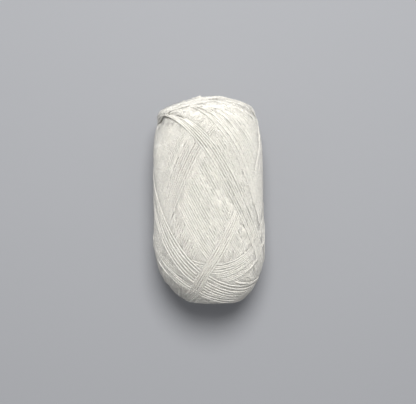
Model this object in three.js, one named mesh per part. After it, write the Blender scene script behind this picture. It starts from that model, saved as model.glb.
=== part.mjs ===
// A pull skein of wool yarn: one yarn wound in slanting loops into a soft barrel with a hollow in each end.
// Millimetres, +Z up. The skein lies on its side along Y, and the origin is under its middle, on the surface.
import * as THREE from "three";

// Driving sizes
const LENGTH = 130; // along Y, over both ends, before the relief of the winding
const WIDTH = 68.4; // across X at the fullest part of the barrel, before the relief
const UP_REACH = 31.8; // from the skein's own axis to the top of the barrel
const DOWN_REACH = 31; // from the axis to the underside, before the skein's weight flattens it
const AXIS_HEIGHT = 29.4; // the axis above the surface, which leaves a flat spot about 28 mm wide
const HOLLOW_DEPTH = 12; // of the hollow in each end
const COLUMNS = 100; // faces round the skein
const ROW_PITCH = 3.2; // spacing of the rows of faces along the profile

// The profile from one end to the other: `radius` is a share of half the width,
// and `along` a share of half the length, from -1 at the lower end to 1 at the upper end.
const HOLLOW_FLOOR = 1 - HOLLOW_DEPTH / (LENGTH / 2);
const PROFILE = [
  { radius: 0.0, along: -HOLLOW_FLOOR },
  { radius: 0.13, along: -HOLLOW_FLOOR - 0.02 },
  { radius: 0.22, along: -0.9 },
  { radius: 0.28, along: -0.955 },
  { radius: 0.4, along: -0.985 },
  { radius: 0.625, along: -0.923 },
  { radius: 0.784, along: -0.826 },
  { radius: 0.9, along: -0.711 },
  { radius: 0.966, along: -0.594 },
  { radius: 1.0, along: -0.43 },
  { radius: 0.994, along: -0.246 },
  { radius: 0.986, along: 0.0 },
  { radius: 0.986, along: 0.277 },
  { radius: 0.974, along: 0.523 },
  { radius: 0.932, along: 0.662 },
  { radius: 0.881, along: 0.777 },
  { radius: 0.79, along: 0.86 },
  { radius: 0.6, along: 0.912 },
  { radius: 0.4, along: 0.936 },
  { radius: 0.29, along: 0.922 },
  { radius: 0.22, along: 0.875 },
  { radius: 0.128, along: HOLLOW_FLOOR + 0.02 },
  { radius: 0.0, along: HOLLOW_FLOOR },
];

// How far the middle of the skein strays sideways from a straight line.
const LEAN = [
  { along: -63, sideways: 2.2 },
  { along: -54, sideways: 1.3 },
  { along: -46, sideways: 0.4 },
  { along: -30, sideways: 0.0 },
  { along: 0, sideways: -0.6 },
  { along: 37, sideways: -1.2 },
  { along: 52, sideways: -1.6 },
  { along: 60, sideways: 0.6 },
];

// Lumps and dips that the last turns make on the ends: where they are, how high and how wide.
const LUMPS = [
  { angle: 14, radius: 14, end: 1, height: 2.2, spread: 7 },
  { angle: 330, radius: 15, end: 1, height: 1.2, spread: 4 },
  { angle: 210, radius: 15, end: 1, height: 1.0, spread: 7 },
  { angle: 290, radius: 27, end: 1, height: -1.2, spread: 7 },
  { angle: 130, radius: 15, end: -1, height: 0.9, spread: 8 },
];

// The passes of the winding, the oldest first. Each turn of yarn lies in the slanting plane
// along = lift - slope * radius * cos(angle - phase), and a pass sweeps from one phase to another, in degrees.
// Angle 0 is the top of the skein as it lies and 90 its right side. `ply` is how far a pass stands proud.
const PASSES = [
  { name: "throat", from: 0, to: -360, slope: 6.8, lift: 0, ply: 0.6 },
  { name: "rim", from: 30, to: -330, slope: 4.1, lift: 0, ply: 0.8 },
  { name: "face", from: 80, to: -280, slope: 2.8, lift: 0, ply: 1.0 },
  { name: "body", from: 120, to: -240, slope: 2.05, lift: 0, ply: 1.2 },
  { name: "upper arcs", from: 235, to: 150, slope: 2.0, lift: 2, ply: 1.3 },
  { name: "lower arcs", from: 42, to: -22, slope: 1.45, lift: 1, ply: 1.4 },
  { name: "foot arcs", from: 30, to: 12, slope: 0.9, lift: -39.5, ply: 1.2 },
  { name: "rising band", from: -86, to: -71, slope: 2.0, lift: -29.3, ply: 1.6 },
  { name: "falling band", from: 137, to: 116, slope: 1.87, lift: -6, ply: 1.8 },
];
const EDGE = 2.4; // over which a pass rises from its first or last turn
const SETTLE = 16; // over which it sinks into the skein again, further in
const BUNDLE = 6; // spacing of the ridges that neighbouring turns make on the barrel
const RIDGE = 0.6; // height of those ridges above their mean
const TIGHTEST = 3; // ridges closer than this are left out
const OPEN_RADIUS = 6; // round the axis, where the hollow's floor is plain

const degrees = THREE.MathUtils.degToRad;
const smooth = (t) => THREE.MathUtils.smoothstep(t, 0, 1);

// Points of the profile at an even spacing, as (radius, along) in millimetres.
function profilePoints() {
  const corners = PROFILE.map(
    (row) => new THREE.Vector3((row.radius * WIDTH) / 2, (row.along * LENGTH) / 2, 0),
  );
  const curve = new THREE.CatmullRomCurve3(corners, false, "centripetal");
  const rows = Math.round(curve.getLength() / ROW_PITCH);
  const points = curve.getSpacedPoints(rows).map((p) => new THREE.Vector2(Math.max(p.x, 0), p.y));
  points[0].x = 0;
  points[rows].x = 0;
  return points;
}

// How far the skein strays sideways at a place along it, by straight lines between the table's rows.
function leanAt(along) {
  const next = LEAN.findIndex((row) => row.along > along);
  if (next === 0) return LEAN[0].sideways;
  if (next < 0) return LEAN[LEAN.length - 1].sideways;
  const [a, b] = [LEAN[next - 1], LEAN[next]];
  return THREE.MathUtils.mapLinear(along, a.along, b.along, a.sideways, b.sideways);
}

// Where a point lies in a pass: how far it is inside the first or last turn, in millimetres, how far the pass
// had turned when it was covered last, in radians, and how far apart two turns lie there for each radian.
function placeInPass(pass, angle, radius, along) {
  const reach = (pass.lift - along) / (pass.slope * radius);
  if (Math.abs(reach) >= 1) return { inside: 0, turned: 0, perRadian: 0 };
  const swing = Math.acos(reach);
  const lean = pass.slope * Math.sin(swing);
  const perRadian = (radius * lean) / Math.hypot(1, lean);
  const way = Math.sign(pass.to - pass.from);
  const spread = degrees(Math.abs(pass.to - pass.from));
  let [inside, turned] = [0, 0];
  for (const phase of [angle - swing, angle + swing]) {
    const since = THREE.MathUtils.euclideanModulo(way * (phase - degrees(pass.from)), 2 * Math.PI);
    if (since > spread || since < turned) continue;
    turned = since;
    inside = Math.min(since, spread - since) * perRadian;
  }
  return { inside, turned, perRadian };
}

// The winding's relief over the plain barrel: each pass stands proud along its edges,
// and its turns lie in ridges that hide those of the passes under it.
function relief(angle, radius, along) {
  if (radius < OPEN_RADIUS) return 0;
  const bundleTurn = BUNDLE / (WIDTH / 2);
  let [height, grain] = [0, 0];
  for (const pass of PASSES) {
    const place = placeInPass(pass, angle, radius, along);
    const cover = smooth(place.inside / EDGE);
    const proud = pass.ply * Math.exp(-place.inside / SETTLE);
    const pitch = bundleTurn * place.perRadian;
    const ridge = Math.cos((2 * Math.PI * place.turned) / bundleTurn) * smooth(pitch / TIGHTEST - 1);
    height += (proud - height) * cover;
    grain += (ridge - grain) * cover;
  }
  return (height + grain * RIDGE) * smooth((radius - OPEN_RADIUS) / OPEN_RADIUS);
}

// The lumps' height at a point of an end.
function lumpHeight(angle, radius, along) {
  const side = radius * Math.sin(angle);
  const up = radius * Math.cos(angle);
  let height = 0;
  for (const lump of LUMPS) {
    if (Math.sign(along) !== lump.end || Math.abs(along) < LENGTH / 4) continue;
    const lumpAngle = degrees(lump.angle);
    const far = Math.hypot(side - lump.radius * Math.sin(lumpAngle), up - lump.radius * Math.cos(lumpAngle));
    height += lump.height * Math.exp(-((far / lump.spread) ** 2));
  }
  return height;
}

// From the round skein on its axis to the skein as it lies: leaning, lower than wide, and flat beneath.
function lie(side, along, up) {
  const reach = up > 0 ? UP_REACH : DOWN_REACH;
  const height = AXIS_HEIGHT + (up * reach) / (WIDTH / 2);
  return new THREE.Vector3(side + leanAt(along), along, Math.max(height, 0));
}

// A point of the skein's surface, `out` millimetres off the plain profile.
function surfacePoint(angle, spot) {
  const out = relief(angle, spot.radius, spot.along) + lumpHeight(angle, spot.radius, spot.along);
  const fade = smooth(spot.radius / OPEN_RADIUS);
  const radius = spot.radius + spot.outward.x * out * fade;
  const along = spot.along + spot.outward.y * out * fade;
  return lie(radius * Math.sin(angle), along, radius * Math.cos(angle));
}

// The profile's points, each with the direction that faces out of the skein.
function profileSpots(points) {
  return points.map((point, row) => {
    const before = points[Math.max(row - 1, 0)];
    const after = points[Math.min(row + 1, points.length - 1)];
    const outward = new THREE.Vector2(after.y - before.y, before.x - after.x).normalize();
    return { radius: point.x, along: point.y, outward };
  });
}

// The spot halfway between two spots of the profile.
function between(a, b) {
  const outward = a.outward.clone().add(b.outward).normalize();
  return { radius: (a.radius + b.radius) / 2, along: (a.along + b.along) / 2, outward };
}

// The skein: a turned profile whose points are moved out by the winding's relief. Each four-sided face is
// split along the diagonal that keeps closer to the relief at its middle, so that the ridges run smoothly.
function skeinGeometry() {
  const points = profilePoints();
  const spots = profileSpots(points);
  const rows = points.length;
  const geometry = new THREE.LatheGeometry(points, COLUMNS);
  const position = geometry.getAttribute("position");
  const columnAngle = (2 * Math.PI) / COLUMNS;
  const at = (column, row) => surfacePoint((column % COLUMNS) * columnAngle, spots[row]);
  const faces = [];
  for (let column = 0; column <= COLUMNS; column += 1) {
    for (let row = 0; row < rows; row += 1) {
      position.setXYZ(column * rows + row, ...at(column, row).toArray());
    }
  }
  const corner = (index) => new THREE.Vector3().fromBufferAttribute(position, index);
  for (let column = 0; column < COLUMNS; column += 1) {
    for (let row = 0; row < rows - 1; row += 1) {
      const [a, d] = [column * rows + row, column * rows + row + 1];
      const [b, c] = [a + rows, d + rows];
      const middle = surfacePoint((column + 0.5) * columnAngle, between(spots[row], spots[row + 1]));
      const alongAC = corner(a).lerp(corner(c), 0.5).distanceTo(middle);
      const alongBD = corner(b).lerp(corner(d), 0.5).distanceTo(middle);
      if (alongAC < alongBD) faces.push(a, b, c, a, c, d);
      else faces.push(a, b, d, b, c, d);
    }
  }
  geometry.setIndex(faces);
  geometry.computeVertexNormals();
  return geometry;
}

// Puts the middle of the geometry, seen from above, over the origin.
function centre(geometry) {
  geometry.computeBoundingBox();
  const middle = geometry.boundingBox.getCenter(new THREE.Vector3());
  return geometry.translate(-middle.x, -middle.y, 0);
}

const wool = new THREE.MeshStandardMaterial({ color: "#e9e6dc", roughness: 0.95, metalness: 0 });

const yarnSkein = new THREE.Mesh(centre(skeinGeometry()), wool);
yarnSkein.name = "yarn_skein";

const part = new THREE.Group();
part.add(yarnSkein);

export default part;
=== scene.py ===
# A pull skein of undyed wool yarn, lying on its side on a pale grey table and seen from straight above.
# The yarn is wound turn by turn, as a skein winder lays it, and the turns that show become plied strands.
import math
from typing import NamedTuple

import bpy
import numpy as np
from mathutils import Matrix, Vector


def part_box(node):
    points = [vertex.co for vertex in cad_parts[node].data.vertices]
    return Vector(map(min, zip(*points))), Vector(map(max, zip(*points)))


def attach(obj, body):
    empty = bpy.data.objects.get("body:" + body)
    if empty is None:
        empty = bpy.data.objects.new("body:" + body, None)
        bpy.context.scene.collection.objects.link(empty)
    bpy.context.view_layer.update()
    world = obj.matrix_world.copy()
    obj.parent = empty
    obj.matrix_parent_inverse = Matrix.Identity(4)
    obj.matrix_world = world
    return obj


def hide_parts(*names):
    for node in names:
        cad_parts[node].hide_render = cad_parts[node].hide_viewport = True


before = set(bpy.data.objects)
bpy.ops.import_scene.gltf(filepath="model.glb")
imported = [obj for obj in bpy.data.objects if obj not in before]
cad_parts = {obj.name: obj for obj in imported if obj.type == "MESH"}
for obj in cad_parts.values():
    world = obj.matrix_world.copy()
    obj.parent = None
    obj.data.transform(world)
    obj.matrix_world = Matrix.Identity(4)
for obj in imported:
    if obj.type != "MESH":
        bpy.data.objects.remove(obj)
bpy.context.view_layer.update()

bl_info = {
    "name": "Wool Pull Skein",
    "version": (1, 0, 0),
    "blender": (4, 5, 0),
    "location": "View3D > Sidebar > Skein",
    "description": "Winds a pull skein of plied wool yarn turn by turn over its solid frame",
    "category": "Add Mesh",
}

SKEIN_NODE = "yarn_skein"
BODY = "root"
MM = 0.001  # one millimetre in Blender's metres
SKEIN_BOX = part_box(SKEIN_NODE)
FULL_TURN = 2 * math.pi


# Sizes and colours that a user would change

class SkeinSizes(bpy.types.PropertyGroup):
    """Sizes of the skein and of its yarn."""

    length: bpy.props.FloatProperty(
        name="Length", description="Of the plain barrel, over both ends", default=0.130, unit="LENGTH")
    width: bpy.props.FloatProperty(
        name="Width", description="Of the plain barrel at its fullest", default=0.0684, unit="LENGTH")
    up_reach: bpy.props.FloatProperty(
        name="Up reach", description="From the skein's axis to its top", default=0.0318, unit="LENGTH")
    down_reach: bpy.props.FloatProperty(
        name="Down reach", description="From the axis to the underside before it is flattened",
        default=0.031, unit="LENGTH")
    axis_height: bpy.props.FloatProperty(
        name="Axis height", description="Of its axis above the table", default=0.0294, unit="LENGTH")
    yarn: bpy.props.FloatProperty(
        name="Yarn", description="Thickness of the yarn", default=0.0014, unit="LENGTH")
    pitch: bpy.props.FloatProperty(
        name="Pitch", description="Spacing of neighbouring turns on the barrel", default=0.0014,
        unit="LENGTH")
    twist: bpy.props.FloatProperty(
        name="Twist", description="Length in which the plies go once round", default=0.0066, unit="LENGTH")
    fibres: bpy.props.IntProperty(
        name="Fibres", description="Loose fibres that stand off the yarn", default=22000, min=0)
    seed: bpy.props.IntProperty(
        name="Seed", description="Picks one of the ways in which the turns can stray", default=5)


class SkeinColours(bpy.types.PropertyGroup):
    """Colours of the wool and of the table, as sRGB hex values."""

    wool: bpy.props.StringProperty(
        name="Wool", description="Undyed wool where the light falls on it", default="#eae7df")
    table: bpy.props.StringProperty(
        name="Table", description="The matt surface under the skein", default="#b4b5b8")


def sizes():
    return bpy.context.scene.skein_sizes


def colours():
    return bpy.context.scene.skein_colours


# The form that the yarn is wound on, as in the solid, and the passes of its winding

class Corner(NamedTuple):
    """A corner of the half section: a share of half the width, and a share of half the length."""

    radius: float
    along: float


class Lean(NamedTuple):
    """How far the middle of the skein strays sideways at a place along it, in mm."""

    along: float
    sideways: float


class Pass(NamedTuple):
    """One pass of the winding: turns in planes along = lift - slope * radius * cos(angle - phase).

    The phase sweeps from `start` to `end`, in degrees, where 0 is the top of the skein as it lies and
    90 its right side. `pitches` is the spacing of its turns, as a multiple of the usual pitch.
    """

    piece: str
    start: float
    end: float
    first_slope: float
    last_slope: float
    first_lift: float
    last_lift: float
    pitches: float


class Waypoint(NamedTuple):
    """A place that loose yarn passes: degrees round the skein from its top, and mm along it."""

    around: float
    along: float


def rows_of(kind, *rows):
    """A table whose rows are all of one kind."""
    return tuple(kind(*row) for row in rows)


class Loose(NamedTuple):
    """Turns laid slackly side by side along a line of waypoints: how many, and how many mm apart."""

    piece: str
    turns: int
    spacing: float
    waypoints: tuple


class Lump(NamedTuple):
    """A lump or dip on an end: where it is, how high it is and how widely it spreads, in mm."""

    angle: float
    radius: float
    end: int
    height: float
    spread: float


class Swell(NamedTuple):
    """A swelling or dip on the barrel: where it is, how high, and its half size round and along, in mm."""

    around: float
    along: float
    height: float
    wide: float
    long: float


class SlackLoop(NamedTuple):
    """A loop of slack yarn: its height, width and sideways lean in mm, and its degrees from the others."""

    height: float
    width: float
    lean: float
    off: float


HALF_LENGTH = 65  # mm, half the length of the plain barrel
HOLLOW_DEPTH = 12  # mm, of the hollow in each end
HOLLOW_FLOOR = 1 - HOLLOW_DEPTH / HALF_LENGTH  # as a share of half the length

# From the floor of the lower hollow to the floor of the upper one
PROFILE = rows_of(
    Corner,
    (0.0, -HOLLOW_FLOOR), (0.13, -HOLLOW_FLOOR - 0.02), (0.22, -0.9), (0.28, -0.955),
    (0.4, -0.985), (0.625, -0.923), (0.784, -0.826), (0.9, -0.711), (0.966, -0.594),
    (1.0, -0.43), (0.994, -0.246), (0.986, 0.0), (0.986, 0.277), (0.974, 0.523), (0.932, 0.662),
    (0.881, 0.777), (0.79, 0.86), (0.6, 0.912), (0.4, 0.936), (0.29, 0.922), (0.22, 0.875),
    (0.128, HOLLOW_FLOOR + 0.02), (0.0, HOLLOW_FLOOR),
)
LEANS = rows_of(
    Lean,
    (-63, 2.2), (-54, 1.3), (-46, 0.4), (-30, 0.0), (0, -0.6), (37, -1.2), (52, -1.6), (60, 0.6),
)
# The solid's own lumps, with the first one lower by the yarn that stands on it
LUMPS = rows_of(
    Lump,
    (14, 14, 1, 1.7, 7), (330, 15, 1, 1.2, 4), (210, 15, 1, 1.0, 7), (290, 27, 1, -1.2, 7),
    (130, 15, -1, 0.9, 8),
)
# The ledge of the upper left shoulder, and the dip under it
SWELLS = rows_of(Swell, (-66, 52.5, 2.4, 14, 3.5), (-72, 46.5, -0.8, 12, 2.5))
# The oldest pass first: each later one lies over those before it
WINDING = (
    Pass("hollow_turns", 0, -400, 24.0, 8.5, 0, 0, 8.0),
    Pass("throat_turns", 0, -400, 8.5, 5.2, 0, 0, 3.4),
    Pass("rim_turns", 30, -370, 5.2, 3.5, 0, 0, 2.3),
    Pass("face_turns", 80, -320, 3.5, 2.4, 0, 0, 1.7),
    Pass("body_turns", 120, -310, 2.4, 1.85, 0, 0, 1.0),
    Pass("upper_arcs", 240, 140, 2.0, 2.0, 2, 2, 1.0),
    Pass("lower_arcs", 4, 0, 1.27, 1.27, 3, -16, 0.94),
    Pass("foot_arcs", 42, 42, 1.4, 1.4, -14, -34, 1.4),
    Pass("toe_arcs", 41, 41, 0.91, 0.91, -42, -50, 1.3),
    Loose("toe_turns", 3, 2.0, rows_of(
        Waypoint, (-104, -16), (-80, -31.7), (-60, -41.1), (-42, -51.2), (-25, -57.2), (-10, -60.8))),
    Loose("rising_band", 5, 1.25, rows_of(
        Waypoint, (-95, -63.4), (-60, -61.9), (-28, -57.5), (-15, -51.2), (-7, -45.5), (5, -36.1),
        (20, -20.8), (35, -4))),
    Pass("falling_band", 136, 118, 1.87, 1.87, -6, -6, 1.05),
    Loose("ledge_turns", 7, 1.1, rows_of(
        Waypoint, (-125, 45), (-90, 49.5), (-70, 52), (-50, 55), (-30, 57.5), (-8, 59.3), (12, 59.6))),
    Loose("shoulder_turns", 2, 1.6, rows_of(
        Waypoint, (-62, 49), (-50, 53), (-44, 56.2), (-36, 58.6), (-20, 60), (4, 60.2), (35, 60.4),
        (66, 59.6), (80, 57.5), (86, 53), (84, 46), (76, 39.3), (70, 31.7), (62, 22), (54, 10))),
)
LOOPS_AROUND = -38  # degrees round the skein, where the slack loops stand on the upper end
SLACK_LOOPS = rows_of(
    SlackLoop,
    (1.2, 2.6, -1.0, -6.0), (0.9, 3.6, 1.2, 4.0), (1.4, 2.0, 0.3, 9.0), (0.8, 4.0, -1.8, -16.0),
)

# How the winding is worked out, in mm
COLUMNS = 440  # cells of the height field round the skein
CELL = 0.45  # the height field's cells along the half section
CURVE_POINTS = 24  # points on a smooth line from one of its corners to the next
TURN_ANGLES = 1441  # at which a turn's plane is followed
PATH_STEP = 0.55  # between the points of a laid turn
AXIS_GAP = 0.02  # the half section's least radius
LEAST_RADIUS = 0.5  # taken where a path passes closer to the axis
END_MARGIN = 0.5  # kept between a turn and the ends of the half section
MOST_REACH = 14  # cells to each side that a turn covers at most
TOUCHES = (-0.3, 0.0, 0.3)  # where across the yarn it can rest on others, as shares of its radius
LEAST_OUTWARD = 0.3  # least share of the way out that lies in a turn's plane
ALMOST_PARALLEL = 1e-6  # the least cross product that a length is divided by
TAUT = 0.5  # share of the way from lying on what is beneath to a string pulled tight
PRESSED = 0.88  # share of its thickness that the yarn keeps where turns press on each other
SINK = 0.5  # how high a turn's middle stays over the turns beneath, as a share of its own radius
BRIDGE = 2.5  # the highest that a tight turn stands over a dip
PHASE_STRAY = 0.002  # radians, from one turn to the next
SLOPE_STRAY = 0.003
LIFT_STRAY = 0.1
WOBBLES = ((2, 0.15), (5, 0.08), (11, 0.04), (37, 0.05), (83, 0.03))  # waves in a turn, and their size
STIFFNESS = np.array([1, 2, 3, 4, 3, 2, 1]) / 16  # evens a turn's height from step to step
TURNS_TO_SETTLE = 50  # after this many turns the winding sinks back to the barrel's form
ROUND_BLUR = 4.5  # how widely the winding's build-up is evened out round the skein
BARREL_BLUR = 4.5  # and along it, on the barrel
END_BLUR = 1.0  # and along it on the ends, where the turns pile up in rings
BARREL_END = 38.0  # how far from the middle the barrel's evening starts to give way
END_START = 54.0  # and where the ends' evening holds alone
DIP = -0.9  # height over the barrel's form under which a dip fills
DIP_SHARE = 0.3  # share of its further depth that a dip keeps
RIDGE = 0.6  # height over which the turns press each other down
RIDGE_ROOM = 0.9  # and the most that they stand over it
DEEPEST = -3.0  # the bare surface that the turns are pressed on anew
BARREL_EASE = 0.8  # length over which a turn's rises and dips are smoothed on the barrel
END_EASE = 3.0  # and on the ends
LOOSE_EASE = 1.5  # and on slack yarn
TUCK_DEPTH = 2.5  # how deep the ends of loose yarn are drawn in under the turns
TUCK_LENGTH = 8.0  # over which they go under
TIGHT_BLUR = 0.35  # share of the blurs' widths that it is evened over as it tightens
BROAD_SQUASH = 0.1  # share of its broader relief that it keeps
SQUASH = 0.72  # share of its height that all the relief keeps after that

# What shows of the winding, and where it lies
SHOWS = 0.06  # mm under the surface that a turn may lie and still be made
GLIMPSE = 2  # path steps: a turn that shows for less is left to the core
TUCK = 1  # path steps that the yarn goes on under its cover
SHORTEST_RUN = 4  # points in the shortest stretch of yarn that is made
FLOOR_SOFTNESS = 0.5  # mm, over which a turn settles onto the table
OUTWARD = 0.3  # mm, from the plain barrel to the middle height of its outermost turns

# The yarn
PLIES = 3
SIDES = 2 * PLIES  # corners of the yarn's section, on the plies and between them
GROOVE = 0.76  # the radius between two plies, as a share of the yarn's radius
RING_STEP = 2  # path steps from one ring of corners to the next
SLUB = 0.07  # how far the yarn's thickness strays
SLUB_LENGTHS = (3.1, 1.3)  # mm of yarn for each radian of the two waves that it strays in
TONE_STRAY = 0.02  # how far one turn's brightness strays from the next one's
PAINTED_PLY_SHADE_AND_GLINT = 0.035  # and how far it strays from millimetre to millimetre: painted shade of the plies and painted glints where fibre ends catch the light
MOST_TRIANGLES = 180_000  # in one piece

# The loose fibres
FIBRE_POINTS = 5  # along each fibre
FIBRE_SHARES = np.linspace(0, 1, FIBRE_POINTS)[None, :, None]  # how far along it they lie
FIBRE_LENGTHS = (1.5, 6.0)  # mm
FIBRE_RISE = 0.45  # mm, how far most fibres stand off the yarn
FIBRE_WIDTH = 0.06  # mm: real ones are half as thick, which would not show
FIBRE_ROOT = 0.7  # where they leave the yarn, as a share of its radius
FIBRE_ARCH = (0.5, 1.05)  # half waves that they rise in: at 1 a fibre comes back to the yarn
FIBRE_BEND = 0.25  # how far most of them bend sideways, as a share of their length
FIBRE_TAPER = 0.6  # share of its width that a fibre loses towards its tip
FIBRE_TONE = 1.05  # thin fibres let light through, so they are a little brighter

# The slack loops
LOOP_POINTS = 26  # along each loop
LOOP_STEP = 0.5  # mm off the rim, to find the way off it
LOOP_SUNK = 1.0  # mm, how deep a loop's ends lie in the winding
LOOP_ASIDE = 0.6  # how much of a loop's lean goes along the rim
LOOP_AWAY = 0.8  # and how much of it goes off the rim

# The wound core
CORE_COLUMNS = 110
CORE_ROWS = 4  # cells of the half section from one row of the core to the next
CORE_MARGIN = 4  # cells from each end of the half section to the core's rows
CORE_NEAR = (-2, -1, 1, 2)  # columns round each corner of the core that it stays under
CORE_DEPTH = 1.2  # mm, of the core's skin under the lowest yarn near it

# Added to the seed, so that each kind of piece has random numbers of its own
TURNS_STREAM = 1
FIBRES_STREAM = 2
LOOPS_STREAM = 3


def unit(vectors):
    return vectors / np.linalg.norm(vectors, axis=-1, keepdims=True).clip(1e-9)


def cumulative(points):
    """The distance from the first point to each point of a line."""
    steps = np.linalg.norm(np.diff(points, axis=0), axis=1)
    return np.concatenate([[0.0], np.cumsum(steps)])


def smooth_line(corners):
    """A smooth line through the corners, with its slope at each taken from its neighbours."""
    along = cumulative(corners)
    slopes = np.gradient(corners, along, axis=0)
    t = np.linspace(0, 1, CURVE_POINTS, endpoint=False)[None, :, None]
    gap = np.diff(along)[:, None, None]
    start, end = corners[:-1, None], corners[1:, None]
    line = (
        start * (2 * t**3 - 3 * t**2 + 1)
        + end * (3 * t**2 - 2 * t**3)
        + slopes[:-1, None] * gap * (t**3 - 2 * t**2 + t)
        + slopes[1:, None] * gap * (t**3 - t**2)
    )
    return np.concatenate([line.reshape(-1, corners.shape[1]), corners[-1:]])


def evened(field, step, width, edge="reflect"):
    """A field with each of its rows evened out over the given width."""
    reach = int(3 * width / step)
    weights = np.exp(-0.5 * (np.arange(-reach, reach + 1) * step / width) ** 2)
    padded = np.pad(field, ((0, 0), (reach, reach)), mode=edge)
    return np.apply_along_axis(np.convolve, 1, padded, weights / weights.sum(), "valid")


class Barrel:
    """The half section of the plain skein, from the lower hollow to the upper one, in even steps of arc."""

    def __init__(self, width, length):
        corners = np.array([(c.radius * width / 2, c.along * length / 2) for c in PROFILE])
        line = smooth_line(corners)
        distance = cumulative(line)
        rows = int(round(distance[-1] / CELL)) + 1
        self.arc = np.linspace(0, distance[-1], rows)
        self.step = self.arc[1]
        self.radius = np.interp(self.arc, distance, line[:, 0]).clip(AXIS_GAP)
        self.along = np.interp(self.arc, distance, line[:, 1])
        run, rise = np.gradient(self.radius, self.arc), np.gradient(self.along, self.arc)
        size = np.hypot(run, rise)
        self.run, self.rise = run / size, rise / size
        self.middle = int(np.argmin(np.abs(self.along)))

    def at(self, column, arc):
        """A column of the half section's numbers, such as its radius, at any place along it."""
        return np.interp(arc, self.arc, column)

    def end_share(self, arc):
        """From 0 on the barrel to 1 on the ends."""
        return np.interp(np.abs(self.at(self.along, arc)), [BARREL_END, END_START], [0, 1])

    def place(self, theta, arc):
        """The point of the plain skein at an angle and a place along the half section."""
        radius = self.at(self.radius, arc)
        return np.stack([radius * np.sin(theta), self.at(self.along, arc), radius * np.cos(theta)], -1)

    def outward(self, theta, arc):
        run, rise = self.at(self.run, arc), self.at(self.rise, arc)
        size = np.hypot(run, rise)
        return np.stack([rise * np.sin(theta), -run, rise * np.cos(theta)], -1) / size[..., None]

    def side_arc(self, along):
        """The place along the half section, between its two rims, that lies a given way along the skein."""
        low, high = int(np.argmin(self.along)), int(np.argmax(self.along))
        return np.interp(along, self.along[low:high + 1], self.arc[low:high + 1])

    def line(self, waypoints, aside):
        """A smooth line along the waypoints, `aside` mm to one side, as even steps of (theta, arc)."""
        girth = self.radius[self.middle]
        corners = [(math.radians(spot.around) * girth, self.side_arc(spot.along)) for spot in waypoints]
        line = smooth_line(np.array(corners))
        theta, arc = line[:, 0] / girth, line[:, 1]
        distance = cumulative(self.place(theta, arc))
        even = np.arange(0, distance[-1], PATH_STEP)
        theta, arc = np.interp(even, distance, theta), np.interp(even, distance, arc)
        radius = self.at(self.radius, arc)
        forward = unit(np.stack([np.gradient(theta) * radius, np.gradient(arc)], 1))
        return theta - forward[:, 1] * aside / radius, arc + forward[:, 0] * aside

    def turn(self, phase, slope, lift):
        """The plane turn of a phase, slope and lift, as even steps of (theta, arc)."""
        theta = np.linspace(0, FULL_TURN, TURN_ANGLES)
        gap = self.along + slope * np.cos(theta - phase)[:, None] * self.radius - lift
        each = np.arange(len(theta))
        middle = self.middle
        lower = middle - np.argmax(gap[:, middle::-1] < 0, axis=1)
        upper = middle + np.argmax(gap[:, middle:] > 0, axis=1)
        below = np.where(gap[:, middle] > 0, lower, upper - 1).clip(0, len(self.arc) - 2)
        before, after = gap[each, below], gap[each, below + 1]
        arc = self.arc[below] + self.step * (before / (before - after)).clip(0, 1)
        distance = cumulative(self.place(theta, arc))
        count = int(distance[-1] / PATH_STEP)
        even = np.linspace(0, distance[-1], count, endpoint=False)
        return np.interp(even, distance, theta), np.interp(even, distance, arc)


def resting_points(out):
    """The points of a closed plane line on which a string pulled tight round it rests, first to first."""
    count = len(out)
    first = int(np.argmax(out[:, 0]))
    after = np.roll(out, -1, axis=0)
    turning = math.copysign(1.0, np.sum(out[:, 0] * after[:, 1] - after[:, 0] * out[:, 1]))
    x, y = out[:, 0].tolist(), out[:, 1].tolist()
    held = []
    for i in [(first + k) % count for k in range(count)] + [first]:
        while len(held) > 1:
            a, b = held[-2], held[-1]
            if turning * ((x[b] - x[a]) * (y[i] - y[a]) - (y[b] - y[a]) * (x[i] - x[a])) > 0:
                break
            held.pop()
        held.append(i)
    return held


def taut_heights(points, outward, heights):
    """How high a string pulled tight round a closed plane line stands over each of its points.

    `points` and `outward` are in the line's own plane, and `heights` is what the string can't go below.
    """
    out = points + outward * heights[:, None]
    held = resting_points(out)
    tight = heights.copy()
    for a, b in zip(held[:-1], held[1:]):
        between = (a + np.arange(1, (b - a) % len(out))) % len(out)
        if len(between) == 0:
            continue
        span = out[b] - out[a]
        across = outward[between, 0] * span[1] - outward[between, 1] * span[0]
        across = np.where(np.abs(across) < ALMOST_PARALLEL, ALMOST_PARALLEL, across)
        base = points[between]
        reach = ((out[a][0] - base[:, 0]) * span[1] - (out[a][1] - base[:, 1]) * span[0]) / across
        tight[between] = np.clip(reach, heights[between], heights[between] + BRIDGE)
    return tight


class Turn(NamedTuple):
    """A turn of yarn as laid: its path, the height of its middle over the barrel, and its pass."""

    theta: np.ndarray
    arc: np.ndarray
    height: np.ndarray
    piece: str
    bare: np.ndarray = None  # where no other turn covers it


class Run(NamedTuple):
    """A stretch of yarn that shows: its middle line and the way out of the skein at each point, in mm."""

    points: np.ndarray
    outward: np.ndarray
    piece: str


def turn_plane(phase, slope):
    """Two directions at right angles in the plane of a turn, as columns."""
    side = np.array([math.cos(phase), 0.0, -math.sin(phase)])
    normal = np.array([slope * math.sin(phase), 1.0, slope * math.cos(phase)]) / math.hypot(1, slope)
    return np.stack([side, np.cross(normal, side)], 1)


def filled(height):
    """The relief with deep dips mostly filled and high ridges pressed down, each in its order of height."""
    dip = np.minimum(height - DIP, 0) * DIP_SHARE
    ridge = RIDGE_ROOM * (1 - np.exp(-np.maximum(height - RIDGE, 0) / RIDGE_ROOM))
    return height.clip(DIP, RIDGE) + dip + ridge


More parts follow.
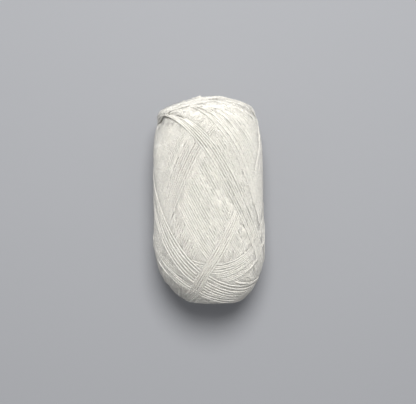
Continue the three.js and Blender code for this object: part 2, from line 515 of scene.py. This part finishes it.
class Winding:
    """The barrel with the turns laid on it so far, and the height of the surface that they make."""

    def __init__(self, barrel, yarn_radius):
        self.barrel = barrel
        self.yarn_radius = yarn_radius
        self.height = np.zeros((COLUMNS, len(barrel.arc)))
        self.turns = []

    def cell(self, theta, arc):
        """The column and row of the height field at each point of a path."""
        column = np.round(theta * COLUMNS / FULL_TURN).astype(int) % COLUMNS
        row = np.round(arc / self.barrel.step).astype(int).clip(0, len(self.barrel.arc) - 1)
        return column, row

    def surface(self, theta, arc):
        return self.height[self.cell(theta, arc)]

    def steps_aside(self, theta, arc):
        """The steps in theta and arc that lead 1 mm to the side of a path at each of its points."""
        places = self.barrel.place(theta, arc)
        outward = self.barrel.outward(theta, arc)
        forward = np.roll(places, -1, 0) - np.roll(places, 1, 0)
        sideways = np.cross(outward, forward)
        sideways /= np.linalg.norm(sideways, axis=1)[:, None]
        radius = np.hypot(places[:, 0], places[:, 2]).clip(LEAST_RADIUS)
        round_step = (sideways[:, 0] * np.cos(theta) - sideways[:, 2] * np.sin(theta)) / radius
        run, rise = self.barrel.at(self.barrel.run, arc), self.barrel.at(self.barrel.rise, arc)
        outwards = sideways[:, 0] * np.sin(theta) + sideways[:, 2] * np.cos(theta)
        return round_step, outwards * run + sideways[:, 1] * rise

    def contact(self, theta, arc):
        """How high the yarn's middle lies where it rests on the turns beneath it, near its middle line."""
        round_step, arc_step = self.steps_aside(theta, arc)
        height = np.full(len(theta), -np.inf)
        for share in TOUCHES:
            off = share * self.yarn_radius
            over = self.yarn_radius * math.sqrt(1 - share**2) * SINK
            height = np.maximum(height, self.surface(theta + round_step * off, arc + arc_step * off) + over)
        return height

    def shows(self, turn):
        """Where it is the turn's own top that makes the surface in the cell at its middle."""
        barrel = self.barrel
        column = np.round(turn.theta * COLUMNS / FULL_TURN)
        across = (column * FULL_TURN / COLUMNS - turn.theta) * barrel.at(barrel.radius, turn.arc)
        far = across**2 + (np.round(turn.arc / barrel.step) * barrel.step - turn.arc) ** 2
        top = turn.height + np.sqrt((self.yarn_radius**2 - far).clip(0))
        return self.surface(turn.theta, turn.arc) < top + SHOWS

    def tighten(self):
        """Notes what shows, then draws the winding in: its broad relief most of all."""
        self.turns = [self.eased(turn) for turn in self.turns]
        self.height = np.full_like(self.height, DEEPEST)
        for turn in self.turns:
            self.press(turn.theta, turn.arc, turn.height)
        thick = self.build_up(TIGHT_BLUR) * (1 - BROAD_SQUASH)
        for i, turn in enumerate(self.turns):
            height = turn.height - thick[self.cell(turn.theta, turn.arc)]
            self.turns[i] = turn._replace(height=height * SQUASH, bare=self.shows(turn))
        self.height = (self.height - thick) * SQUASH

    def lay(self, piece, phase, slope, lift, waves):
        """Lays one turn: it rests on what is beneath, and is pulled most of the way to a tight string."""
        theta, arc = self.barrel.turn(phase, slope, lift)
        share = np.linspace(0, FULL_TURN, len(theta), endpoint=False)
        for number, size, shift in waves:
            arc = arc + size * np.sin(number * share + shift)
        arc = arc.clip(END_MARGIN, self.barrel.arc[-1] - END_MARGIN)
        height = self.contact(theta, arc)
        plane = turn_plane(phase, slope)
        outward = self.barrel.outward(theta, arc) @ plane
        outward /= np.linalg.norm(outward, axis=1).clip(LEAST_OUTWARD)[:, None]
        tight = taut_heights(self.barrel.place(theta, arc) @ plane, outward, height)
        height = height + TAUT * (tight - height)
        reach = len(STIFFNESS) // 2
        height = np.convolve(np.concatenate([height[-reach:], height, height[:reach]]), STIFFNESS, "valid")
        self.press(theta, arc, height)
        self.turns.append(Turn(theta, arc, height, piece))

    def drape(self, piece, waypoints, aside, waves):
        """Lays a slack length along the waypoints, with both its ends drawn in under the turns beneath."""
        theta, arc = self.barrel.line(waypoints, aside)
        distance = np.arange(len(theta)) * PATH_STEP
        for number, size, shift in waves:
            arc = arc + size * np.sin(number * FULL_TURN * distance / distance[-1] + shift)
        height = evened(self.contact(theta, arc)[None], PATH_STEP, LOOSE_EASE)[0]
        from_end = np.minimum(distance, distance[-1] - distance) / TUCK_LENGTH
        height = height - TUCK_DEPTH * (1 - from_end).clip(0, 1) ** 2
        self.press(theta, arc, height)
        self.turns.append(Turn(theta, arc, height, piece))

    def press(self, theta, arc, height):
        """Raises the surface to the top of the yarn along a path."""
        barrel, yarn = self.barrel, self.yarn_radius
        radius = barrel.at(barrel.radius, arc)
        cell_angle = FULL_TURN / COLUMNS
        column = np.round(theta / cell_angle).astype(int)
        row = np.round(arc / barrel.step).astype(int)
        reach = np.minimum(np.ceil(yarn / (radius * cell_angle)), MOST_REACH)
        flat = self.height.reshape(-1)
        rows = int(yarn / barrel.step) + 1
        for i in range(-int(reach.max()), int(reach.max()) + 1):
            near = abs(i) <= reach
            across = ((column[near] + i) * cell_angle - theta[near]) * radius[near]
            for j in range(-rows, rows + 1):
                to = row[near] + j
                far = across**2 + (to * barrel.step - arc[near]) ** 2
                covered = (far < yarn**2) & (to >= 0) & (to < len(barrel.arc))
                top = height[near][covered] + np.sqrt(yarn**2 - far[covered])
                cells = (column[near] + i)[covered] % COLUMNS * len(barrel.arc) + to[covered]
                np.maximum.at(flat, cells, top)

    def build_up(self, share=1.0):
        """The surface evened out round the skein and along it: the winding's thickness with no relief."""
        barrel = self.barrel
        waves = np.arange(COLUMNS // 2 + 1)[:, None]
        spread = ROUND_BLUR * share / barrel.radius
        turned = np.fft.rfft(self.height, axis=0) * np.exp(-0.5 * (waves * spread) ** 2)
        around = np.fft.irfft(turned, COLUMNS, axis=0)
        end = barrel.end_share(barrel.arc)
        along = evened(around, barrel.step, BARREL_BLUR * share)
        return along * (1 - end) + evened(around, barrel.step, END_BLUR) * end

    def settle(self):
        """Lets the winding sink back to the barrel's form, which already holds its thickness."""
        thick = self.build_up()
        self.height = filled(self.height - thick)
        for i, turn in enumerate(self.turns):
            height = turn.height - thick[self.cell(turn.theta, turn.arc)]
            self.turns[i] = turn._replace(height=filled(height))

    def eased(self, turn):
        """A turn with its rises and dips smoothed, more so on the ends."""
        end = self.barrel.end_share(turn.arc)
        gentle = evened(turn.height[None], PATH_STEP, BARREL_EASE, "wrap")[0]
        strong = evened(turn.height[None], PATH_STEP, END_EASE, "wrap")[0]
        return turn._replace(height=gentle * (1 - end) + strong * end)


def random_waves(random):
    """The waves that one turn strays in: how many in the turn, how high, and where they begin."""
    return [(waves, random.normal(0, size), random.uniform(0, FULL_TURN)) for waves, size in WOBBLES]


def wind_pass(winding, each, random):
    """Winds one pass, turn by turn."""
    barrel = winding.barrel
    slope = (each.first_slope + each.last_slope) / 2
    sweep = math.radians(abs(each.end - each.start)) * barrel.radius[barrel.middle] * slope
    spread = (sweep + abs(each.last_lift - each.first_lift)) / math.hypot(1, slope)
    count = round(spread / (sizes().pitch / MM * each.pitches))
    for i in range(count):
        share = (i + 0.5) / count
        phase = math.radians(each.start + (each.end - each.start) * share)
        steep = each.first_slope + (each.last_slope - each.first_slope) * share
        lift = each.first_lift + (each.last_lift - each.first_lift) * share
        winding.lay(
            each.piece, phase + random.normal(0, PHASE_STRAY), steep + random.normal(0, SLOPE_STRAY),
            lift + random.normal(0, LIFT_STRAY), random_waves(random))
        if len(winding.turns) % TURNS_TO_SETTLE == 0:
            winding.settle()
    winding.settle()


def wind():
    """Winds the whole skein, the oldest pass first."""
    barrel = Barrel(sizes().width / MM, sizes().length / MM)
    winding = Winding(barrel, sizes().yarn / MM / 2 * PRESSED)
    random = np.random.default_rng(sizes().seed)
    for each in WINDING:
        if isinstance(each, Pass):
            wind_pass(winding, each, random)
            continue
        for i in range(each.turns):
            aside = (i - (each.turns - 1) / 2) * each.spacing
            winding.drape(each.piece, each.waypoints, aside, random_waves(random))
    winding.tighten()
    return winding


# From the wound barrel to the skein as it lies

def lie(points):
    """Leans the skein, lowers it, and lays its underside on the table. In mm, and in the solid's frame."""
    half = sizes().width / MM / 2
    reach = np.where(points[:, 2] > 0, sizes().up_reach, sizes().down_reach) / MM
    height = sizes().axis_height / MM + points[:, 2] * reach / half
    least = sizes().yarn / MM / 2
    over = (height - least) / FLOOR_SOFTNESS
    height = least + FLOOR_SOFTNESS * np.logaddexp(over, 0)
    lean = np.interp(points[:, 1], [row.along for row in LEANS], [row.sideways for row in LEANS])
    return np.stack([points[:, 0] + lean, points[:, 1], height], 1)


def swelling(places):
    """How far the lumps and swellings lift the skein at points of the plain barrel, in mm."""
    side, along, up = places.T
    out = np.zeros(len(places))
    for lump in LUMPS:
        angle = math.radians(lump.angle)
        far = np.hypot(side - lump.radius * math.sin(angle), up - lump.radius * math.cos(angle))
        on_end = along * lump.end > sizes().length / MM / 4
        out += np.where(on_end, lump.height * np.exp(-((far / lump.spread) ** 2)), 0)
    angle = np.arctan2(side, up)
    for swell in SWELLS:
        round_off = (angle - math.radians(swell.around)) * np.hypot(side, up) / swell.wide
        out += swell.height * np.exp(-(round_off**2) - ((along - swell.along) / swell.long) ** 2)
    return out


def flags_near(flags, before, after):
    """How many flags are up from `before` steps back to `after` steps on, round a closed turn."""
    padded = np.concatenate([flags[len(flags) - before:], flags, flags[:after]])
    return np.convolve(padded, np.ones(before + after + 1), "valid")


class Skein:
    """The finished winding and everything that the pieces are made from. Worked out once and kept."""

    kept = None

    def __init__(self):
        self.winding = wind()
        self.runs = [run for turn in self.winding.turns for run in self.seen(turn)]
        ends = np.concatenate([run.points for run in self.runs])
        middle = (ends.min(0) + ends.max(0)) / 2
        wanted = np.array((SKEIN_BOX[0] + SKEIN_BOX[1]) / 2) / MM
        self.shift = np.array([wanted[0] - middle[0], wanted[1] - middle[1], 0.0])
        self.runs = [run._replace(points=run.points + self.shift) for run in self.runs]

    @classmethod
    def get(cls):
        if cls.kept is None:
            cls.kept = cls()
        return cls.kept

    def laid(self, theta, arc, height):
        """Points of the lying skein, `height` over the mean of the settled winding."""
        barrel = self.winding.barrel
        places = barrel.place(theta, arc)
        out = height + OUTWARD + swelling(places)
        return lie(places + barrel.outward(theta, arc) * out[:, None])

    def seen(self, turn):
        """The stretches of a turn that other turns don't cover."""
        lasting = flags_near(turn.bare, 0, GLIMPSE - 1) >= GLIMPSE
        bare = flags_near(lasting, GLIMPSE - 1, 0) > 0
        wide = flags_near(bare, TUCK, TUCK) > 0
        if not wide.any():
            return []
        points = self.laid(turn.theta, turn.arc, turn.height)
        outward = self.laid(turn.theta, turn.arc, turn.height + 1) - points
        if wide.all():
            order = np.concatenate([np.arange(len(wide)), [0]])
            return [Run(points[order], outward[order], turn.piece)]
        first = int(np.argmin(wide))
        order = (first + np.arange(len(wide))) % len(wide)
        edges = np.diff(np.concatenate([[0], wide[order].astype(int), [0]]))
        starts, stops = np.flatnonzero(edges > 0), np.flatnonzero(edges < 0)
        runs = [order[a:b] for a, b in zip(starts, stops) if b - a >= SHORTEST_RUN]
        return [Run(points[run], outward[run], turn.piece) for run in runs]


# Meshes

class MeshParts(NamedTuple):
    """Corners, four-sided faces and many-sided faces, with each corner's share of the wool's brightness."""

    corners: np.ndarray
    quads: np.ndarray
    caps: np.ndarray
    tone: np.ndarray


def evened_line(points):
    """The points with each drawn halfway to the middle of its neighbours, ends kept."""
    inner = points[1:-1] * 0.5 + (points[:-2] + points[2:]) * 0.25
    return np.concatenate([points[:1], inner, points[-1:]])


def plied_rings(line, outward, random):
    """Rings of corners round a line: yarn whose plies turn round each other and whose thickness strays."""
    forward = unit(np.gradient(line, axis=0))
    across = unit(np.cross(forward, outward))
    up = np.cross(across, forward)
    distance = cumulative(line)
    starts = random.uniform(0, FULL_TURN, 2)
    long_wave, short_wave = [np.sin(distance / size + start) for size, start in zip(SLUB_LENGTHS, starts)]
    thick = 1 + SLUB * (long_wave + short_wave) / 2
    spin = distance * FULL_TURN / (sizes().twist / MM) + random.uniform(0, FULL_TURN)
    side = np.arange(SIDES)
    radius = np.where(side % 2 == 0, GROOVE, 1.0) * (sizes().yarn / MM / 2)
    angle = spin[:, None] + side * FULL_TURN / SIDES
    out = radius * thick[:, None]
    return (
        line[:, None]
        + (out * np.cos(angle))[..., None] * up[:, None]
        + (out * np.sin(angle))[..., None] * across[:, None]
    )


def strand(run, random):
    """A closed, plied tube along a run."""
    line = evened_line(run.points)
    keep = np.unique(np.append(np.arange(0, len(line), RING_STEP), len(line) - 1))
    rings = plied_rings(line[keep], run.outward[keep], random)
    side = np.arange(SIDES)
    after = (side + 1) % SIDES
    ring = np.arange(len(keep) - 1)[:, None] * SIDES
    quads = np.stack([ring + side, ring + after, ring + SIDES + after, ring + SIDES + side], -1)
    caps = np.stack([side[::-1], (len(keep) - 1) * SIDES + side])
    # each turn's own brightness, then painted ply shade and glints that stray from ring to ring
    tone = 1 + random.normal(0, TONE_STRAY) + random.normal(0, PAINTED_PLY_SHADE_AND_GLINT, len(keep)).repeat(SIDES)
    return MeshParts(rings.reshape(-1, 3), quads.reshape(-1, 4), caps, tone)


def joined(parts):
    """Several meshes' parts as one."""
    starts = np.cumsum([0] + [len(part.corners) for part in parts[:-1]])
    return MeshParts(
        np.concatenate([part.corners for part in parts]),
        np.concatenate([part.quads + start for part, start in zip(parts, starts)]),
        np.concatenate([part.caps + start for part, start in zip(parts, starts)]),
        np.concatenate([part.tone for part in parts]),
    )


def piece_shares(parts):
    """The parts in their order, in as few lists as keep each under the most triangles of a piece."""
    share = np.cumsum([2 * (len(part.quads) + SIDES) for part in parts]) // MOST_TRIANGLES
    return [[part for part, own in zip(parts, share) if own == number] for number in range(share[-1] + 1)]


def add_piece(name, parts):
    """A smooth woollen object of the given parts, in metres, that rides with the skein."""
    mesh = bpy.data.meshes.new(name)
    mesh.vertices.add(len(parts.corners))
    mesh.vertices.foreach_set("co", (parts.corners * MM).astype(np.float32).ravel())
    totals = np.concatenate([np.full(len(faces), faces.shape[1]) for faces in (parts.quads, parts.caps)])
    mesh.loops.add(int(totals.sum()))
    mesh.loops.foreach_set("vertex_index", np.concatenate([parts.quads.ravel(), parts.caps.ravel()]))
    mesh.polygons.add(len(totals))
    mesh.polygons.foreach_set("loop_start", np.cumsum(totals) - totals)
    mesh.polygons.foreach_set("use_smooth", np.ones(len(totals), dtype=bool))
    tone = mesh.attributes.new("tone", "FLOAT", "POINT")
    tone.data.foreach_set("value", parts.tone.astype(np.float32))
    mesh.update(calc_edges=True)
    mesh.validate()
    mesh.materials.append(wool_material())
    piece = bpy.data.objects.new(name, mesh)
    bpy.context.scene.collection.objects.link(piece)
    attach(piece, BODY)
    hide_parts(SKEIN_NODE)


# Materials

def linear(colour):
    """Linear red, green, blue and alpha from an sRGB hex value."""
    shares = [int(colour[i:i + 2], 16) / 255 for i in (1, 3, 5)]
    return [s / 12.92 if s <= 0.04045 else ((s + 0.055) / 1.055) ** 2.4 for s in shares] + [1.0]


def add_node(tree, kind, links=(), inputs=(), **settings):
    """Adds a node with its settings, its fixed inputs, and its links as (input, node, output)."""
    node = tree.nodes.new(kind)
    for name, value in settings.items():
        setattr(node, name, value)
    for name, value in inputs:
        node.inputs[name].default_value = value
    for name, source, output in links:
        tree.links.new(source.outputs[output], node.inputs[name])
    return node


def new_material(name):
    material = bpy.data.materials.new(name)
    material.use_nodes = True
    material.node_tree.nodes.clear()
    return material


DULL_WOOL = "#e8e5dc"


def wool_material():
    """Undyed sheep's wool, spun and plied: cream, matt, with a soft glow of fibre ends round each turn."""
    name = "undyed wool, spun and plied"
    if name in bpy.data.materials:
        return bpy.data.materials[name]
    material = new_material(name)
    tree = material.node_tree
    place = add_node(tree, "ShaderNodeTexCoord")
    # Patches some 25 mm across, where the fleece is a little duller
    patches = add_node(
        tree, "ShaderNodeTexNoise", links=[("Vector", place, "Object")],
        inputs=[("Scale", 1 / (25 * MM)), ("Detail", 2.0)])
    fleece = add_node(tree, "ShaderNodeValToRGB", links=[("Fac", patches, "Fac")])
    fleece.color_ramp.elements[0].color = linear(DULL_WOOL)
    fleece.color_ramp.elements[1].color = linear(colours().wool)
    # the tone holds each turn's own brightness and the painted ply shade and glints along the yarn
    tone = add_node(tree, "ShaderNodeAttribute", attribute_name="tone")
    colour = add_node(
        tree, "ShaderNodeVectorMath", operation="SCALE",
        links=[(0, fleece, "Color"), ("Scale", tone, "Fac")])
    # The yarn's rough, hairy skin, drawn coarser than real: its fibres are 0.03 mm thick, under a pixel
    hairs = add_node(
        tree, "ShaderNodeTexNoise", links=[("Vector", place, "Object")],
        inputs=[("Scale", 1 / (0.7 * MM)), ("Detail", 4.0), ("Roughness", 0.7)])
    rough = add_node(
        tree, "ShaderNodeBump", links=[("Height", hairs, "Fac")],
        inputs=[("Strength", 0.35), ("Distance", 0.25 * MM)])
    surface = add_node(
        tree, "ShaderNodeBsdfPrincipled", subsurface_method="BURLEY",
        links=[("Base Color", colour, "Vector"), ("Normal", rough, "Normal")],
        inputs=[
            ("Roughness", 0.9), ("Specular IOR Level", 0.15), ("Sheen Weight", 0.5),
            ("Sheen Roughness", 0.5), ("Subsurface Weight", 0.75), ("Subsurface Scale", 1.0 * MM),
            ("Subsurface Radius", (1.0, 1.0, 0.95))])
    add_node(tree, "ShaderNodeOutputMaterial", links=[("Surface", surface, "BSDF")])
    return material


def table_material():
    """Matt painted board: even, pale grey, with no gloss."""
    material = new_material("matt painted board")
    tree = material.node_tree
    surface = add_node(
        tree, "ShaderNodeBsdfPrincipled",
        inputs=[
            ("Base Color", linear(colours().table)), ("Roughness", 0.95), ("Specular IOR Level", 0.1)])
    add_node(tree, "ShaderNodeOutputMaterial", links=[("Surface", surface, "BSDF")])
    return material


# Pieces

def core_parts():
    """The wound mass under the turns that show, as one closed skin."""
    skein = Skein.get()
    winding, barrel = skein.winding, skein.winding.barrel
    low = winding.height
    for shift in CORE_NEAR:
        low = np.minimum(low, np.roll(low, shift, axis=0))
    rows = np.arange(CORE_MARGIN, len(barrel.arc) - CORE_MARGIN, CORE_ROWS)
    columns = np.arange(0, COLUMNS, COLUMNS // CORE_COLUMNS)
    theta = np.repeat(columns * FULL_TURN / COLUMNS, len(rows))
    arc = np.tile(barrel.arc[rows], len(columns))
    height = low[np.ix_(columns, rows)].ravel() - CORE_DEPTH
    corners = skein.laid(theta, arc, height) + skein.shift
    first = np.arange(CORE_COLUMNS) * len(rows)
    column, after = first[:, None], np.roll(first, -1)[:, None]
    row = np.arange(len(rows) - 1)
    quads = np.stack([column + row, after + row, after + row + 1, column + row + 1], -1).reshape(-1, 4)
    caps = np.stack([first[::-1], first + len(rows) - 1])
    return MeshParts(corners, quads, caps, np.full(len(corners), 1.0))


def fibre_lines(start, ahead, aside, out, random):
    """Lines that leave their starts ahead, rise in an arch and bend aside."""
    each = (len(start), 1, 1)
    length = random.uniform(*FIBRE_LENGTHS, each)
    rise = np.abs(random.normal(0, FIBRE_RISE, each))
    arch = random.uniform(*FIBRE_ARCH, each)
    bend = random.normal(0, FIBRE_BEND, each)
    return (
        start[:, None]
        + ahead[:, None] * length * FIBRE_SHARES
        + aside[:, None] * bend * length * FIBRE_SHARES**2
        + out[:, None] * rise * np.sin(math.pi * FIBRE_SHARES * arch)
    )


def fibre_parts():
    """Loose fibres that leave the yarn and curve back to it or end in the air, as thin ribbons."""
    skein = Skein.get()
    random = np.random.default_rng(sizes().seed + FIBRES_STREAM)
    points = np.concatenate([run.points for run in skein.runs])
    outward = unit(np.concatenate([run.outward for run in skein.runs]))
    count = sizes().fibres
    pick = random.integers(len(points), size=count)
    out = outward[pick]
    ahead = unit(np.cross(out, random.normal(size=(count, 3))))
    aside = np.cross(out, ahead)
    start = points[pick] + out * skein.winding.yarn_radius * FIBRE_ROOT
    line = fibre_lines(start, ahead, aside, out, random)
    half = aside[:, None] * (FIBRE_WIDTH / 2) * (1 - FIBRE_TAPER * FIBRE_SHARES)
    line[..., 2] = np.maximum(line[..., 2], FIBRE_WIDTH)
    corners = np.stack([line - half, line + half], 2).reshape(-1, 3)
    first = (np.arange(count)[:, None] * FIBRE_POINTS + np.arange(FIBRE_POINTS - 1)) * 2
    quads = np.stack([first, first + 1, first + 3, first + 2], -1).reshape(-1, 4)
    return MeshParts(corners, quads, np.zeros((0, 3), int), np.full(len(corners), FIBRE_TONE))


def slack_run(loop):
    """A small slack loop of yarn that stands up from the rim of the upper hollow."""
    skein = Skein.get()
    barrel = skein.winding.barrel
    rim = barrel.arc[int(np.argmax(barrel.along))]
    around = LOOPS_AROUND + loop.off
    theta = np.radians([around, around + 1, around])
    spots = skein.laid(theta, np.array([rim, rim, rim - LOOP_STEP]), np.zeros(3)) + skein.shift
    aside, away = unit(spots[1] - spots[0]), unit(spots[2] - spots[0])
    out = unit(np.cross(aside, away))
    out = out * math.copysign(1, out[1])
    share = np.linspace(0, 1, LOOP_POINTS)[:, None]
    arch = np.sin(math.pi * share)
    line = (
        spots[0] - aside * np.cos(math.pi * share) * loop.width / 2
        + out * (loop.height * arch - LOOP_SUNK)
        + (aside * LOOP_ASIDE - away * LOOP_AWAY) * loop.lean * arch**2
    )
    return Run(line, np.repeat(away[None], len(line), 0), "slack_loops")


class SKEIN_OT_core(bpy.types.Operator):
    """Makes the wound mass that lies under the turns that show"""

    bl_idname = "skein.core"
    bl_label = "Wound core"

    def execute(self, context):
        add_piece("wound_core", core_parts())
        return {"FINISHED"}


class SKEIN_OT_slack(bpy.types.Operator):
    """Makes the small slack loops that stand up from the upper end"""

    bl_idname = "skein.slack"
    bl_label = "Slack loops"

    def execute(self, context):
        random = np.random.default_rng(sizes().seed + LOOPS_STREAM)
        strands = [strand(slack_run(loop), random) for loop in SLACK_LOOPS]
        add_piece("slack_loops", joined(strands))
        return {"FINISHED"}


class SKEIN_OT_fibres(bpy.types.Operator):
    """Makes the loose fibres that give the wool its soft edge"""

    bl_idname = "skein.fibres"
    bl_label = "Loose fibres"

    def execute(self, context):
        add_piece("loose_fibres", fibre_parts())
        return {"FINISHED"}


class SKEIN_OT_turns(bpy.types.Operator):
    """Makes the turns of yarn that show, with a piece or more for each pass of the winding"""

    bl_idname = "skein.turns"
    bl_label = "Turns of yarn"

    def execute(self, context):
        random = np.random.default_rng(sizes().seed + TURNS_STREAM)
        for each in WINDING:
            parts = [strand(run, random) for run in Skein.get().runs if run.piece == each.piece]
            for number, share in enumerate(piece_shares(parts)):
                name = each.piece if number == 0 else f"{each.piece}_{number + 1}"
                add_piece(name, joined(share))
        return {"FINISHED"}


# The table, the light and the camera

LENS = 85.0  # mm
SENSOR = 36.0  # mm
FRAME_WIDTH = 416  # pixels
PIXEL = 130 / 207 * MM  # in metres at the skein's middle height: its 130 mm cover 207 pixels
SKEIN_IN_FRAME = (1.0, 1.5)  # pixels right of and above the frame's middle
TABLE_SIDE = 3.0  # metres
WINDOW_PLACE = (0.04, 0.42, 0.96)  # metres, above the skein's upper end and a little to its right
WINDOW_SIZE = 0.5  # metres across, which gives the shadow its soft edge
WINDOW_POWER = 9.1  # watts
ROOM_COLOUR = "#f3f5fa"  # the room's own light is a little bluer than the window's
ROOM_STRENGTH = 0.27


def add_window(scene):
    """A round, soft, white light that is turned towards the skein."""
    light = bpy.data.lights.new("window", "AREA")
    light.shape = "DISK"
    light.size = WINDOW_SIZE
    light.energy = WINDOW_POWER
    lamp = bpy.data.objects.new("window", light)
    lamp.location = WINDOW_PLACE
    lamp.rotation_euler = (-Vector(WINDOW_PLACE)).to_track_quat("-Z", "Y").to_euler()
    scene.collection.objects.link(lamp)


def add_room_light(scene):
    """Even light from all round."""
    world = bpy.data.worlds.new("room")
    world.use_nodes = True
    background = world.node_tree.nodes["Background"]
    background.inputs["Color"].default_value = linear(ROOM_COLOUR)
    background.inputs["Strength"].default_value = ROOM_STRENGTH
    scene.world = world


def add_camera(scene):
    """A camera straight above, as far off as makes a pixel cover what it covers in the photo."""
    camera = bpy.data.objects.new("camera", bpy.data.cameras.new("camera"))
    camera.data.lens = LENS
    camera.data.sensor_width = SENSOR
    middle = (SKEIN_BOX[0] + SKEIN_BOX[1]) / 2
    distance = PIXEL * FRAME_WIDTH * LENS / SENSOR
    camera.location = (
        middle.x - SKEIN_IN_FRAME[0] * PIXEL, middle.y - SKEIN_IN_FRAME[1] * PIXEL,
        sizes().axis_height + distance)
    scene.collection.objects.link(camera)
    scene.camera = camera


class SKEIN_OT_stage(bpy.types.Operator):
    """Sets the table, the soft light from beyond the upper end, and the camera straight above"""

    bl_idname = "skein.stage"
    bl_label = "Table, light and camera"

    def execute(self, context):
        bpy.ops.mesh.primitive_plane_add(size=TABLE_SIDE)
        table = context.object
        table.name = "table"
        table.data.materials.append(table_material())
        add_window(context.scene)
        add_room_light(context.scene)
        context.scene.view_settings.view_transform = "Standard"
        add_camera(context.scene)
        return {"FINISHED"}


class SKEIN_PT_panel(bpy.types.Panel):
    """Lists the skein's sizes, colours and pieces"""

    bl_label = "Skein"
    bl_idname = "SKEIN_PT_panel"
    bl_space_type = "VIEW_3D"
    bl_region_type = "UI"
    bl_category = "Skein"

    def draw(self, context):
        for group in (context.scene.skein_sizes, context.scene.skein_colours):
            for name in group.__annotations__:
                self.layout.prop(group, name)
        for operator in OPERATORS:
            self.layout.operator(operator.bl_idname)


OPERATORS = (SKEIN_OT_core, SKEIN_OT_turns, SKEIN_OT_slack, SKEIN_OT_fibres, SKEIN_OT_stage)
CLASSES = (SkeinSizes, SkeinColours) + OPERATORS + (SKEIN_PT_panel,)


def register():
    for each in CLASSES:
        bpy.utils.register_class(each)
    bpy.types.Scene.skein_sizes = bpy.props.PointerProperty(type=SkeinSizes)
    bpy.types.Scene.skein_colours = bpy.props.PointerProperty(type=SkeinColours)


def unregister():
    del bpy.types.Scene.skein_colours
    del bpy.types.Scene.skein_sizes
    for each in reversed(CLASSES):
        bpy.utils.unregister_class(each)


def main():
    register()
    bpy.ops.skein.core()
    bpy.ops.skein.turns()
    bpy.ops.skein.slack()
    bpy.ops.skein.fibres()
    bpy.ops.skein.stage()


if __name__ == "__main__":
    main()
